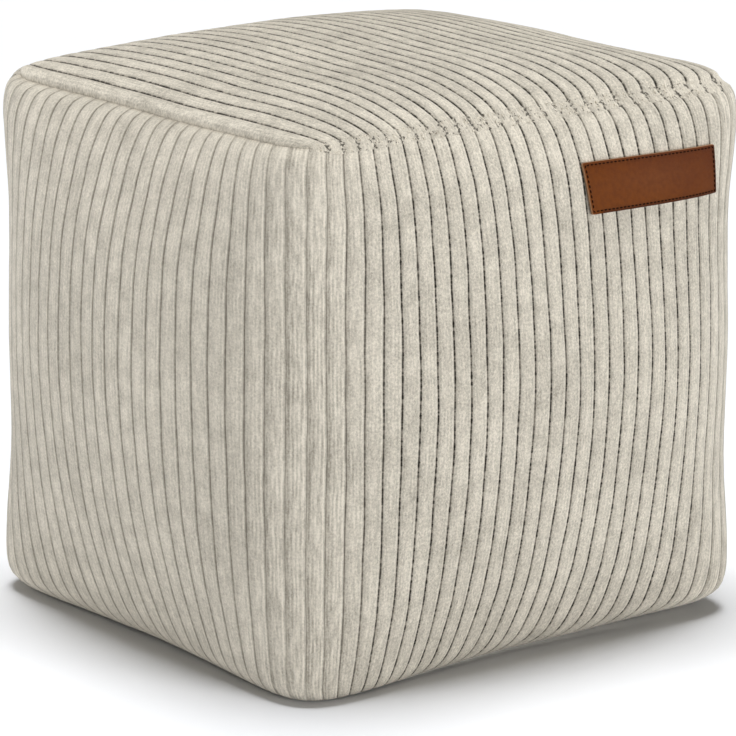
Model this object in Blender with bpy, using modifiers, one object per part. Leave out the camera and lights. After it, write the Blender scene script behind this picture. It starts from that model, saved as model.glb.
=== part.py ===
"""Bean bag footstool: a cube of jumbo cord filled with beads, with a sewn-on leather patch.

Metres, +Z up. The origin is on the floor under the middle of the footstool. The front faces -Y and
carries the patch; "left" is the -X side. A ring is one level section of the side band, walked
from the front left corner past the front right, back right and back left corners.
"""
import math
from collections import namedtuple

import bmesh
import bpy
from mathutils import Vector

MM = 0.001

# ---- driving dimensions ---------------------------------------------------------------------
# One row for each section of the side band, in millimetres, from the base seam to the top seam.
# half_width and half_depth reach the straight sides, squareness is the exponent of the rounded
# square, and each bow is how far the middle of that side stands out (or is drawn in, below 0).
Level = namedtuple("Level", "height half_width half_depth squareness "
                            "bow_left bow_front bow_right bow_back")
LEVELS = [
    Level(0,   178, 170, 10.0, -6, -12, -6, -10),
    Level(4,   187, 179, 10.0, -6, -12, -6, -10),
    Level(16,  197, 188, 9.0,  -5, -11, -4, -9),
    Level(46,  200, 191, 8.0,  2,  -6,  2,  -4),
    Level(112, 199, 188, 6.2,  20, 14,  16, 12),
    Level(194, 198, 187, 6.0,  30, 24,  22, 20),
    Level(276, 199, 188, 6.0,  26, 16,  20, 16),
    Level(328, 201, 191, 7.0,  12, 3,   10, 4),
    Level(352, 201, 190, 8.0,  3,  -6,  3,  -2),
    Level(366, 197, 186, 9.0,  -2, -12, -1, -6),
    Level(371, 189, 178, 10.0, -4, -14, -2, -8),
]
SEAM_HEIGHT = LEVELS[-1].height * MM
LEAN_X = 5 * MM                     # how far the top sits to the right of the base
LEAN_Y = 6 * MM                     # how far the top sits behind the base
SHIFT_X = 3.4 * MM                  # these two bring the middle of the overall size over the origin
SHIFT_Y = 1.8 * MM

# How unevenly the filling holds the cover out, in millimetres at eight places round a ring.
Around = namedtuple("Around", "front_left front front_right right back_right back back_left left")
TOP_SEAM_LIFT = Around(4, 3, 4, 0, -6, 0, -3, -0.5)     # the top seam rises and falls
BASE_SEAM_LIFT = Around(0, 2.4, 7, 0, 0, 0, 0, 1.3)     # the base seam lifts off the floor
BASE_SPREAD = Around(8, 0.5, 1.5, 0, 0, 0, 3, 2.5)      # the foot of the band spreads
MIDDLE_SPREAD = Around(0, 0, 4.7, 0, 0, 0, 2.2, 0)      # so does the middle of its height
LIFT_REACH = 80                     # heights in mm up to which the base seam's lift
SPREAD_REACH = 60                   # and the foot's spread are felt
FLAT_SHARE = 0.4                    # this share of the base, about its middle, is quite flat

DOME_RISE = 22.5 * MM               # crown of the top panel above its seam
DOME_FULLNESS_ACROSS = 3.0          # higher is flatter in the middle, from left to right
DOME_FULLNESS_ALONG = 3.6           # and from front to back
DOME_SHOULDER = 0.61                # lower is steeper beside the seam

PANEL_THICK = 3.0 * MM              # jumbo cord with its pile
PANEL_RECESS = 4.6 * MM             # depth of the filled body's top below the dome
LIP_WIDTH = 8 * MM                  # the panel's outermost wale, rolled over the side seams
LIP_RISE = 1.4 * MM
BASE_THICK = 2.5 * MM
GAP = 0.3 * MM                      # between neighbouring pieces
SEAM_GAP = 0.8 * MM                 # between the top panel's edge and the band it is sewn to
BASE_SEAM_GAP = 1.5 * MM            # the same at the base, where the seam is turned under
BASE_CLEARANCE = 1.2 * MM           # between the base panel and the filling over it

PATCH_WIDTH = 118 * MM
PATCH_HEIGHT = 34 * MM
PATCH_THICK = 1.8 * MM
PATCH_CENTRE_X = 97.5 * MM
PATCH_CENTRE_Z = 323.5 * MM
PATCH_TILT = math.radians(-1.2)     # its right end hangs a little low
PATCH_SKEW = math.radians(5)        # and it is sewn a little out of square
PATCH_BEVEL = 0.5 * MM

SIDE_CELLS = 20                     # cells along each side of a ring
ROWS_PER_LEVEL = 2                  # rings between one row of the table and the next
RING_STEPS = 80                     # points a side when a ring's length is measured
PATCH_CELLS = (12, 4)

CORD = (0.50, 0.455, 0.375)         # linear colours
BASE_CORD = (0.43, 0.39, 0.32)
FILLED_CORD = (0.47, 0.43, 0.355)
LEATHER = (0.19, 0.066, 0.022)


# ---- the form ---------------------------------------------------------------------------------
def blend_levels(row):
    """Read the table at a fractional row, on a smooth curve through its rows."""
    last = len(LEVELS) - 1
    start = min(max(int(math.floor(row)), 0), last - 1)
    f = row - start
    before, here, there, after = (LEVELS[min(max(start + k, 0), last)] for k in (-1, 0, 1, 2))
    values = []
    for a, b, c, d in zip(before, here, there, after):
        values.append(0.5 * (2 * b + (c - a) * f + (2 * a - 5 * b + 4 * c - d) * f ** 2
                             + (3 * b - a - 3 * c + d) * f ** 3))
    return Level(*values)


def signed_power(value, power):
    return math.copysign(abs(value) ** power, value)


def section_point(level, angle):
    """One point of a level section: a rounded square with each side bowed in or out."""
    power = 2 / level.squareness
    along_x = signed_power(math.cos(angle), power)
    along_y = signed_power(math.sin(angle), power)
    side_x = level.bow_left if along_x < 0 else level.bow_right
    side_y = level.bow_front if along_y < 0 else level.bow_back
    bow_x = side_x * math.cos(along_y * math.pi / 2) * abs(along_x) ** 3
    bow_y = side_y * math.cos(along_x * math.pi / 2) * abs(along_y) ** 3
    lean = level.height * MM / SEAM_HEIGHT - 0.5
    x = level.half_width * along_x + math.copysign(1, along_x) * bow_x
    y = level.half_depth * along_y + math.copysign(1, along_y) * bow_y
    return Vector((x * MM + SHIFT_X + LEAN_X * lean, y * MM + SHIFT_Y + LEAN_Y * lean, level.height * MM))


def around(values, place):
    """Read a table of eight values at a place round the ring, 0 to 4 from the front left corner."""
    step = int(math.floor(place * 2))
    f = math.sin((place * 2 - step) * math.pi / 2) ** 2
    return (values[step % 8] * (1 - f) + values[(step + 1) % 8] * f) * MM


def settle(points, height):
    """Lift and spread a section, at a height in mm, as unevenly as the filling holds it."""
    up = height * MM / SEAM_HEIGHT
    near_top = max(0.0, up) ** 3
    near_base = max(0.0, 1 - height / LIFT_REACH) ** 1.5
    foot = max(0.0, 1 - height / SPREAD_REACH) ** 2
    waist = math.sin(math.pi * min(max(up, 0.0), 1.0)) ** 2
    middle = sum(points, Vector()) / len(points)
    settled = []
    for k, p in enumerate(points):
        place = 4 * k / len(points)
        spread = around(BASE_SPREAD, place) * foot + around(MIDDLE_SPREAD, place) * waist
        lift = around(TOP_SEAM_LIFT, place) * near_top + around(BASE_SEAM_LIFT, place) * near_base
        outward = Vector((p.x - middle.x, p.y - middle.y, 0)).normalized()
        settled.append(p + outward * spread + Vector((0, 0, lift)))
    return settled


def ring(row, cells=SIDE_CELLS):
    """One section as 4 * cells points, evenly spaced along each side between its corners."""
    level = blend_levels(row)
    points = []
    for side in range(4):
        first = -0.75 * math.pi + side * math.pi / 2
        walk = [section_point(level, first + k * math.pi / 2 / RING_STEPS) for k in range(RING_STEPS + 1)]
        length = [0.0]
        for a, b in zip(walk, walk[1:]):
            length.append(length[-1] + (b - a).length)
        k = 0
        for cell in range(cells):
            target = length[-1] * cell / cells
            while length[k + 1] < target:
                k += 1
            f = (target - length[k]) / (length[k + 1] - length[k])
            points.append(walk[k].lerp(walk[k + 1], f))
    return settle(points, level.height)


def seam_patch(points, u, v):
    """A smooth patch stretched over a closed ring; u and v run from -1 to 1."""
    cells = len(points) // 4

    def at(place):
        whole = place * cells
        k = int(math.floor(whole + 1e-6))
        return points[k % len(points)].lerp(points[(k + 1) % len(points)], max(0.0, whole - k))

    s, t = (u + 1) / 2, (v + 1) / 2
    edges = (1 - t) * at(s) + t * at(3 - s) + (1 - s) * at(4 - t) + s * at(1 + t)
    corners = ((1 - s) * (1 - t) * at(0) + s * (1 - t) * at(1)
               + s * t * at(2) + (1 - s) * t * at(3))
    return edges - corners


def crown(u, v):
    """Height of the dome above the seam patch: full right into its corners."""
    across = 1 - abs(u) ** DOME_FULLNESS_ACROSS
    along = 1 - abs(v) ** DOME_FULLNESS_ALONG
    both = across * along
    if both <= 0:
        return 0.0
    return DOME_RISE * (both / (across + along - both)) ** DOME_SHOULDER


def base_surface(points, u, v):
    """The underside stretched over the base seam: flat, and turned up only near a lifted seam."""
    point = seam_patch(points, u, v)
    from_middle = max(abs(u), abs(v))
    turned_up = max(0.0, (from_middle - FLAT_SHARE) / (1 - FLAT_SHARE)) ** 3
    point.z = max(0.0, point.z) * turned_up
    return point


def row_at_height(height):
    """The fractional table row whose section lies at a height."""
    low, high = 0.0, len(LEVELS) - 1.0
    for _ in range(40):
        middle = (low + high) / 2
        if blend_levels(middle).height * MM < height:
            low = middle
        else:
            high = middle
    return (low + high) / 2


# ---- building helpers ---------------------------------------------------------------------------
def clear_scene():
    for obj in list(bpy.data.objects):
        bpy.data.objects.remove(obj, do_unlink=True)


def material(name, colour, roughness):
    made = bpy.data.materials.new(name)
    made.use_nodes = True
    shader = made.node_tree.nodes["Principled BSDF"]
    shader.inputs["Base Color"].default_value = (*colour, 1)
    shader.inputs["Roughness"].default_value = roughness
    shader.inputs["Metallic"].default_value = 0.0
    return made


def add_object(name, bm, finish, collection):
    """Turn a bmesh into a named object in the footstool's collection."""
    mesh = bpy.data.meshes.new(name)
    bm.to_mesh(mesh)
    bm.free()
    mesh.shade_smooth()
    obj = bpy.data.objects.new(name, mesh)
    obj.data.materials.append(finish)
    collection.objects.link(obj)
    return obj


def add_cap(bm, rim, surface):
    """Close a ring of verts with a grid whose inner points come from surface(u, v)."""
    around_rim = len(rim)
    cells = around_rim // 4
    grid = {}
    for i in range(cells + 1):
        for j in range(cells + 1):
            if j == 0:
                grid[i, j] = rim[i]
            elif i == cells:
                grid[i, j] = rim[cells + j]
            elif j == cells:
                grid[i, j] = rim[3 * cells - i]
            elif i == 0:
                grid[i, j] = rim[(around_rim - j) % around_rim]
            else:
                grid[i, j] = bm.verts.new(surface(2 * i / cells - 1, 2 * j / cells - 1))
    for i in range(cells):
        for j in range(cells):
            bm.faces.new((grid[i, j], grid[i + 1, j], grid[i + 1, j + 1], grid[i, j + 1]))


def add_strips(bm, grid):
    """Faces between neighbouring columns of verts, each column running away from the viewer."""
    for left, right in zip(grid, grid[1:]):
        for j in range(len(left) - 1):
            bm.faces.new((left[j], right[j], right[j + 1], left[j + 1]))


def split_quads(bm):
    """Cut every quad the same way, so that pieces lying together follow the same facets."""
    bmesh.ops.triangulate(bm, faces=bm.faces, quad_method="FIXED")


def thicken(obj, thickness, offset):
    solid = obj.modifiers.new("thickness", "SOLIDIFY")
    solid.thickness = thickness
    solid.offset = offset
    return solid


# ---- the pieces -----------------------------------------------------------------------------------
def filled_body(collection):
    """The side band and its filling: one crowned solid, recessed under the top and base panels."""
    last = len(LEVELS) - 1
    rows = [k / ROWS_PER_LEVEL for k in range(ROWS_PER_LEVEL * last + 1)]
    base = ring(0)
    top = ring(last)
    over_base = Vector((0, 0, BASE_THICK + BASE_CLEARANCE))
    under_top = Vector((0, 0, -PANEL_RECESS))
    rings = [[p + over_base for p in base]]
    rings += [ring(row) for row in rows]
    rings.append([p + under_top for p in top])

    def base_cap(u, v):
        return base_surface(base, u, v) + over_base

    def top_cap(u, v):
        return seam_patch(top, u, v) + under_top + Vector((0, 0, crown(u, v)))

    bm = bmesh.new()
    levels = [[bm.verts.new(p) for p in points] for points in rings]
    for lower, upper in zip(levels, levels[1:]):
        for k in range(4 * SIDE_CELLS):
            n = (k + 1) % (4 * SIDE_CELLS)
            bm.faces.new((lower[k], lower[n], upper[n], upper[k]))
    add_cap(bm, levels[0], base_cap)
    add_cap(bm, levels[-1], top_cap)
    split_quads(bm)
    bmesh.ops.recalc_face_normals(bm, faces=bm.faces)
    return add_object("filled_body", bm, material("filled_cord", FILLED_CORD, 0.95), collection)


def top_panel(collection):
    """The domed top, cut separately: wales run front to back and the outermost ones roll over."""
    seam = ring(len(LEVELS) - 1)
    half_width = LEVELS[-1].half_width * MM
    half_depth = LEVELS[-1].half_depth * MM
    lip_steps = [LIP_WIDTH * f / half_width for f in (0, 0.25, 0.5, 0.75, 1)]
    inner = [2 * k / SIDE_CELLS - 1 for k in range(1, SIDE_CELLS)]
    across = [-1 + step for step in lip_steps] + inner + [1 - step for step in reversed(lip_steps)]
    along = [2 * k / SIDE_CELLS - 1 for k in range(SIDE_CELLS + 1)]

    bm = bmesh.new()
    grid = []
    for side in across:
        roll = math.sin(math.pi * min(1.0, (1 - abs(side)) * half_width / LIP_WIDTH))
        u = side * (1 - SEAM_GAP / half_width)
        column = []
        for end in along:
            v = end * (1 - SEAM_GAP / half_depth)
            point = seam_patch(seam, u, v)
            point.z += crown(u, v) + LIP_RISE * roll
            column.append(bm.verts.new(point))
        grid.append(column)
    add_strips(bm, grid)
    panel = add_object("top_panel", bm, material("top_cord", CORD, 0.95), collection)
    thicken(panel, PANEL_THICK, -1)
    return panel


def base_panel(collection):
    """The flat panel that the footstool stands on."""
    seam = ring(0)
    drawn_in = 1 - BASE_SEAM_GAP / (LEVELS[0].half_depth * MM)
    steps = [drawn_in * (2 * k / SIDE_CELLS - 1) for k in range(SIDE_CELLS + 1)]
    bm = bmesh.new()
    add_strips(bm, [[bm.verts.new(base_surface(seam, u, v) + Vector((0, 0, BASE_THICK))) for v in steps]
                    for u in steps])
    split_quads(bm)
    panel = add_object("base_panel", bm, material("base_cord", BASE_CORD, 0.95), collection)
    thicken(panel, BASE_THICK, -1)
    return panel


def front_surface(x, z):
    """The front of the band at a place given by x and height, and its outward normal."""
    def at(place_x, place_z):
        height = place_z
        for _ in range(3):
            points = ring(row_at_height(height), cells=RING_STEPS)[:RING_STEPS + 1]
            a, b = next((a, b) for a, b in zip(points, points[1:]) if a.x <= place_x <= b.x)
            found = a.lerp(b, (place_x - a.x) / (b.x - a.x))
            height += place_z - found.z
        return found

    step = 2 * MM
    here = at(x, z)
    across = at(x + step, z) - here
    up = at(x, z + step) - here
    return here, across.cross(up).normalized()


def leather_patch(collection):
    """The stitched-on leather patch, curved to the front of the band."""
    columns, rows = PATCH_CELLS
    bm = bmesh.new()
    grid = []
    for i in range(columns + 1):
        column = []
        for j in range(rows + 1):
            a = (i / columns - 0.5) * PATCH_WIDTH
            b = (j / rows - 0.5) * PATCH_HEIGHT
            x = PATCH_CENTRE_X + a * math.cos(PATCH_TILT) - b * math.sin(PATCH_TILT + PATCH_SKEW)
            z = PATCH_CENTRE_Z + a * math.sin(PATCH_TILT) + b * math.cos(PATCH_TILT + PATCH_SKEW)
            point, normal = front_surface(x, z)
            column.append(bm.verts.new(point + normal * 2 * GAP))
        grid.append(column)
    add_strips(bm, grid)
    patch = add_object("leather_patch", bm, material("leather", LEATHER, 0.5), collection)
    thicken(patch, PATCH_THICK, 1)
    edge = patch.modifiers.new("edge", "BEVEL")
    edge.width = PATCH_BEVEL
    edge.segments = 1
    edge.limit_method = "ANGLE"
    edge.angle_limit = math.radians(50)
    return patch


def build():
    clear_scene()
    collection = bpy.data.collections.new("bean_bag_footstool")
    bpy.context.scene.collection.children.link(collection)
    filled_body(collection)
    top_panel(collection)
    base_panel(collection)
    leather_patch(collection)


build()
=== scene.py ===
"""Bean bag footstool: a cube of jumbo cord filled with beads, with a stitched leather patch.

Metres, +Z up. The front faces -Y and carries the patch; "left" is the -X side. A ring is one level
section of the side band, walked from the front left corner past the front right, back right and back
left ones, and a place is how far round it a point lies, from 0 to 4. The sections, the seam and the
dome are those of the construction. Geometry nodes raise the cord's wales on that form and sew the
patch's stitches, and a cloth simulation lets the cover settle on its filling.
"""
import math
from collections import namedtuple

import bpy
import numpy as np
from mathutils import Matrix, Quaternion, Vector


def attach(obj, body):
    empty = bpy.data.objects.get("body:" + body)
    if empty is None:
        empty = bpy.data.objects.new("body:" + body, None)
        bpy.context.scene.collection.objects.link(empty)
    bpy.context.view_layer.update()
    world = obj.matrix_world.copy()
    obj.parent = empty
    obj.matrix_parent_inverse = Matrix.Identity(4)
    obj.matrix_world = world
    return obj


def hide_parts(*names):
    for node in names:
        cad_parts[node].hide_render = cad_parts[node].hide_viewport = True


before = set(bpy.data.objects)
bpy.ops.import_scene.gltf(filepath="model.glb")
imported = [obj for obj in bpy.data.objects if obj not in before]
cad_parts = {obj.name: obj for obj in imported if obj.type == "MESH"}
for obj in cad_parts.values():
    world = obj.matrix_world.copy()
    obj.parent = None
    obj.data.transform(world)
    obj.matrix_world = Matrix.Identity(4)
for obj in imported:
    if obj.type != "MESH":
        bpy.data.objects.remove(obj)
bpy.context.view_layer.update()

MM = 0.001

# ---- the form, as it is constructed ----
# One row for each section of the side band, in millimetres, from the base seam to the top seam.
Level = namedtuple("Level", "height half_width half_depth squareness "
                            "bow_left bow_front bow_right bow_back")
LEVELS = [
    Level(0,   178, 170, 10.0, -6, -12, -6, -10),
    Level(4,   187, 179, 10.0, -6, -12, -6, -10),
    Level(16,  197, 188, 9.0,  -5, -11, -4, -9),
    Level(46,  200, 191, 8.0,  2,  -6,  2,  -4),
    Level(112, 199, 188, 6.2,  20, 14,  16, 12),
    Level(194, 198, 187, 6.0,  30, 24,  22, 20),
    Level(276, 199, 188, 6.0,  26, 16,  20, 16),
    Level(328, 201, 191, 7.0,  12, 3,   10, 4),
    Level(352, 201, 190, 8.0,  3,  -6,  3,  -2),
    Level(366, 197, 186, 9.0,  -2, -12, -1, -6),
    Level(371, 189, 178, 10.0, -4, -14, -2, -8),
]
LAST_ROW = len(LEVELS) - 1
SEAM_HEIGHT = LEVELS[-1].height * MM
LEAN_X = 5 * MM
LEAN_Y = 6 * MM
SHIFT_X = 3.4 * MM
SHIFT_Y = 1.8 * MM
RING_STEPS = 80

# How unevenly the filling holds the cover out, in millimetres at eight places round a ring.
Around = namedtuple("Around", "front_left front front_right right back_right back back_left left")
TOP_SEAM_LIFT = Around(4, 3, 4, 0, -6, 0, -3, -0.5)
BASE_SEAM_LIFT = Around(0, 2.4, 7, 0, 0, 0, 0, 1.3)
BASE_SPREAD = Around(8, 0.5, 1.5, 0, 0, 0, 3, 2.5)
MIDDLE_SPREAD = Around(0, 0, 4.7, 0, 0, 0, 2.2, 0)
LIFT_REACH = 80
SPREAD_REACH = 60
FLAT_SHARE = 0.4
BASE_SHARE = 0.995  # how much of the base seam's size the base panel fills

DOME_RISE = 22.5 * MM
DOME_FULLNESS_ACROSS = 3.0
DOME_FULLNESS_ALONG = 3.6
DOME_SHOULDER = 0.61

PANEL_THICK = 3.0 * MM
PANEL_RECESS = 4.6 * MM
BASE_THICK = 2.5 * MM
BASE_CLEARANCE = 1.2 * MM
GAP = 0.3 * MM
SHEET_SHARE = 0.6  # how much of a cord panel's thickness is backing, under its wales

# ---- the cord ----
WALES = (29, 25, 29, 25)  # on the front, right, back and left of the band
TOP_WALES = 29  # across the top, running front to back
BASE_WALES = 26
WALE_STEPS = (0, 0.022, 0.06, 0.16, 0.33, 0.5, 0.67, 0.84, 0.94, 0.978)  # columns across one wale
BAND_ROWS = 84
TOP_ROWS = 84
BELT_STEPS = (0, 0.08, 0.2, 0.35, 0.5, 0.65, 0.8, 0.92, 1)
BASE_ROWS = 30
TOP_EDGE_STEPS = 260  # points of the top's edge along each side
BASE_EDGE_STEPS = 120
CLOSING_SHARES = (0.0, 0.03, 0.1, 0.25, 0.5, 0.8)  # the band's closing rings, rim to middle
WALE_PITCH = 13.2 * MM
WALE_HEIGHT = 1.5 * MM
TOP_WALE_HEIGHT = 1.9 * MM
SEAM_REACH = 5.5 * MM  # how far from an end seam the wales are brushed flat
BELT_REACH = 4 * MM  # and how far the brushed belt over it spreads to each side
CORNER_WALES = 1.5  # in this many wales from a corner the belt changes its width:
NEAR_CORNER_BELT = -0.6  # it runs out at the near corner
FAR_CORNER_BELT = 1.0  # and spreads over the others
TUFT_DENSITY = 90000.0  # tufts in a square metre
LIP_RISE = 1.6 * MM  # extra roundness of the top's outermost wales
LIP_OUT = 3.0 * MM  # how far they roll out over the side seams
LIP_TUCK = 1.0 * MM  # how far the top's edge is sewn down into the seam
WOBBLE = 0.5 * MM  # how far a wale strays sideways
CORNER_SOFT = 2.6  # wales beside a corner over which the valleys fade
FOOT_DRAW = 0.07  # pull of the wales to the near corner at the foot, in sides
FOOT_REACH = 75 * MM  # and how far up the band it is felt
BELT_FULLNESS = 0.42  # roundness of the belt, as a share of its width
BELT_END = 0.004  # how far from a corner a belt stops, in sides

# colours, in linear red, green and blue, and opaque
LIGHT = (0.77, 0.713, 0.604, 1)
# the top's light tone is painted brighter than the sides': painted light on the top
TOP_LIGHT = (0.82, 0.760, 0.643, 1)
# the cord's tone runs from SHADE to its light tone: partly the pile's own tone, partly painted light and
# shade across the wales
SHADE = (0.28, 0.255, 0.207, 1)
# painted shade for the valleys between the wales
VALLEY = (0.018, 0.014, 0.009, 1)
# the darker pile of the loose tufts, and painted shade on the flanks beside the valleys
WEAR = (0.30, 0.265, 0.21, 1)
TAN = (0.146, 0.037, 0.002, 1)
RED_TAN = (0.098, 0.022, 0.004, 1)
WAXED = (0.225, 0.080, 0.030, 1)
SCUFFED = (0.055, 0.014, 0.004, 1)
PRESSED_RIM = (0.050, 0.013, 0.004, 1)
RAW_EDGE = (0.46, 0.27, 0.15, 1)
THREAD = (0.012, 0.004, 0.0015, 1)
FLOOR = (0.94, 0.955, 0.985, 1)

# ---- the patch, where the frame has it ----
PATCH_WIDTH = 118 * MM
PATCH_HEIGHT = 34 * MM
PATCH_THICK = 1.8 * MM
PATCH_CENTRE_X = 97.5 * MM
PATCH_CENTRE_Z = 323.5 * MM
PATCH_TILT = math.radians(-1.2)
PATCH_SKEW = math.radians(5)
PATCH_CORNER = 1.6 * MM
STITCH_INSET = 2.0 * MM
STITCH_PITCH = 3.4 * MM
STITCH_LENGTH = 2.5 * MM
STITCH_WIDTH = 0.95 * MM

# ---- how the cover settles ----
CAGE_CELLS = 22  # cells along each side of the simulated cover
CAGE_ROWS = 24
SWELL = 5 * MM  # the cover starts this much smaller
SETTLE_CAP = 1.0 * MM  # its uneven settling is scaled to reach this far at most
PRESSURE = 4.0
FRAMES = 20

# ---- view and light ----
VIEW_AZIMUTH = math.radians(-37.7)
VIEW_ELEVATION = math.radians(14.7)
VIEW_DISTANCE = 3.95
VIEW_LENS = 277.4
VIEW_ROLL = math.radians(0.4)
VIEW_MIDDLE = Vector((0.0034, 0.0018, 0.19))
VIEW_DOWN = 24.15 * MM  # the view is aimed this far below that middle
VIEW_RIGHT = 1.2 * MM
ROOM_LIGHT = 0.04
Sun = namedtuple("Sun", "name place strength softness")  # its softness is in degrees
SUNS = (Sun("front", (1.4, -3.7, 0.12), 2.42, 16),
        Sun("side", (-3.9, 0.9, 0.12), 1.60, 16),
        Sun("over", (0.12, 0.24, 2.9), 3.14, 30))


# ---- the form ----
def blend_levels(row):
    """Read the table at a fractional row, on a smooth curve through its rows."""
    start = min(max(int(math.floor(row)), 0), LAST_ROW - 1)
    f = row - start
    before, here, there, after = (LEVELS[min(max(start + k, 0), LAST_ROW)] for k in (-1, 0, 1, 2))
    values = []
    for a, b, c, d in zip(before, here, there, after):
        values.append(0.5 * (2 * b + (c - a) * f + (2 * a - 5 * b + 4 * c - d) * f ** 2
                             + (3 * b - a - 3 * c + d) * f ** 3))
    return Level(*values)


def section(level, angle):
    """A rounded square with each side bowed in or out, at an array of angles."""
    power = 2 / level.squareness
    cos, sin = np.cos(angle), np.sin(angle)
    along_x = np.sign(cos) * np.abs(cos) ** power
    along_y = np.sign(sin) * np.abs(sin) ** power
    side_x = np.where(along_x < 0, level.bow_left, level.bow_right)
    side_y = np.where(along_y < 0, level.bow_front, level.bow_back)
    bow_x = side_x * np.cos(along_y * np.pi / 2) * np.abs(along_x) ** 3
    bow_y = side_y * np.cos(along_x * np.pi / 2) * np.abs(along_y) ** 3
    lean = level.height * MM / SEAM_HEIGHT - 0.5
    x = (level.half_width * along_x + np.sign(along_x) * bow_x) * MM + SHIFT_X + LEAN_X * lean
    y = (level.half_depth * along_y + np.sign(along_y) * bow_y) * MM + SHIFT_Y + LEAN_Y * lean
    return np.stack((x, y, np.full_like(x, level.height * MM)), axis=-1)


def around(values, places):
    """Read a table of eight values, in millimetres, at an array of places round the ring."""
    steps = np.floor(places * 2).astype(int)
    f = np.sin((places * 2 - steps) * np.pi / 2) ** 2
    table = np.array(values, float)
    return (table[steps % 8] * (1 - f) + table[(steps + 1) % 8] * f) * MM


def settle(points, places, height):
    """Lift and spread a section, at a height in mm, as unevenly as the filling holds it."""
    up = height * MM / SEAM_HEIGHT
    near_base = max(0.0, 1 - height / LIFT_REACH) ** 1.5
    foot = max(0.0, 1 - height / SPREAD_REACH) ** 2
    waist = math.sin(math.pi * min(max(up, 0.0), 1.0)) ** 2
    spread = around(BASE_SPREAD, places) * foot + around(MIDDLE_SPREAD, places) * waist
    lift = around(TOP_SEAM_LIFT, places) * max(0.0, up) ** 3 + around(BASE_SEAM_LIFT, places) * near_base
    middle = (SHIFT_X + LEAN_X * (up - 0.5), SHIFT_Y + LEAN_Y * (up - 0.5))
    outward = points[:, :2] - middle
    outward /= np.linalg.norm(outward, axis=1, keepdims=True)
    return points + np.column_stack((outward * spread[:, None], lift))


def ring(row, places):
    """One section at an array of places, which are evenly spaced by length along each side."""
    level = blend_levels(row)
    places = np.mod(places, 4)
    points = np.empty((len(places), 3))
    for side in range(4):
        turn = np.linspace(0, np.pi / 2, RING_STEPS + 1)
        walk = section(level, turn - 0.75 * np.pi + side * np.pi / 2)
        steps = np.linalg.norm(np.diff(walk, axis=0), axis=1)
        length = np.concatenate(([0], np.cumsum(steps)))
        mine = (places >= side) & (places < side + 1)
        target = (places[mine] - side) * length[-1]
        for axis in range(3):
            points[mine, axis] = np.interp(target, length, walk[:, axis])
    return settle(points, places, level.height)


def at_places(points, places):
    """Read a closed ring of evenly spaced points, or of their moves, at an array of places."""
    known = np.linspace(0, 4, len(points) + 1)
    closed = np.vstack((points, points[:1]))
    return np.stack([np.interp(np.mod(places, 4), known, closed[:, k]) for k in range(3)], axis=-1)


def seam_patch(edge, u, v):
    """A smooth patch stretched over a closed ring; arrays u and v run from -1 to 1."""
    s, t = (u + 1) / 2, (v + 1) / 2

    def at(place):
        return at_places(edge, place)

    s1, t1 = s[..., None], t[..., None]
    sides = (1 - t1) * at(s) + t1 * at(3 - s) + (1 - s1) * at(4 - t) + s1 * at(1 + t)
    corner = [at(np.full_like(s, k)) for k in range(4)]
    return sides - ((1 - s1) * (1 - t1) * corner[0] + s1 * (1 - t1) * corner[1]
                    + s1 * t1 * corner[2] + (1 - s1) * t1 * corner[3])


def crown(u, v):
    """Height of the dome above the seam patch: full right into its corners."""
    across = np.clip(1 - np.abs(u) ** DOME_FULLNESS_ACROSS, 0, 1)
    along = np.clip(1 - np.abs(v) ** DOME_FULLNESS_ALONG, 0, 1)
    both = across * along
    return DOME_RISE * (both / np.maximum(across + along - both, 1e-9)) ** DOME_SHOULDER


def base_surface(edge, u, v):
    """The underside stretched over the base seam: flat, and turned up only near a lifted seam."""
    points = seam_patch(edge, u, v)
    from_middle = np.maximum(np.abs(u), np.abs(v))
    turned_up = np.clip((from_middle - FLAT_SHARE) / (1 - FLAT_SHARE), 0, 1) ** 3
    points[..., 2] = np.maximum(points[..., 2], 0) * turned_up
    return points


def even_rows(count):
    """Fractional table rows, a like length of cloth apart up the middle of the front."""
    fine = np.linspace(0, LAST_ROW, 400)
    walk = np.array([ring(row, np.array([0.5]))[0] for row in fine])
    length = np.concatenate(([0], np.cumsum(np.linalg.norm(np.diff(walk, axis=0), axis=1))))
    even = np.linspace(0, length[-1], count)
    return np.interp(even, length, fine), even


def wander(wale, run, total, seed):
    """How wales stray, between about -1 and 1, on waves that close after total wales."""
    random = np.random.default_rng(seed)
    wave = np.zeros_like(wale)
    for turns, pace, strength in ((0.14, 34, 1.0), (0.33, 78, 0.45), (0.58, 139, 0.25)):
        whole_turns = round(turns * total)
        phase = random.uniform(0, 2 * np.pi)
        wave += np.sin(2 * np.pi * whole_turns * wale / total + pace * run + phase) * strength
    return wave / 1.5


# ---- how the cover settles on its filling ----
def grid_faces(rows, columns, closed):
    """Quads of a grid of points kept row after row, round a ring where it is closed."""
    faces = []
    for r in range(rows - 1):
        for c in range(columns if closed else columns - 1):
            n = (c + 1) % columns
            faces.append((r * columns + c, r * columns + n, (r + 1) * columns + n, (r + 1) * columns + c))
    return faces


def add_object(name, data):
    obj = bpy.data.objects.new(name, data)
    bpy.context.scene.collection.objects.link(obj)
    return obj


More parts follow.
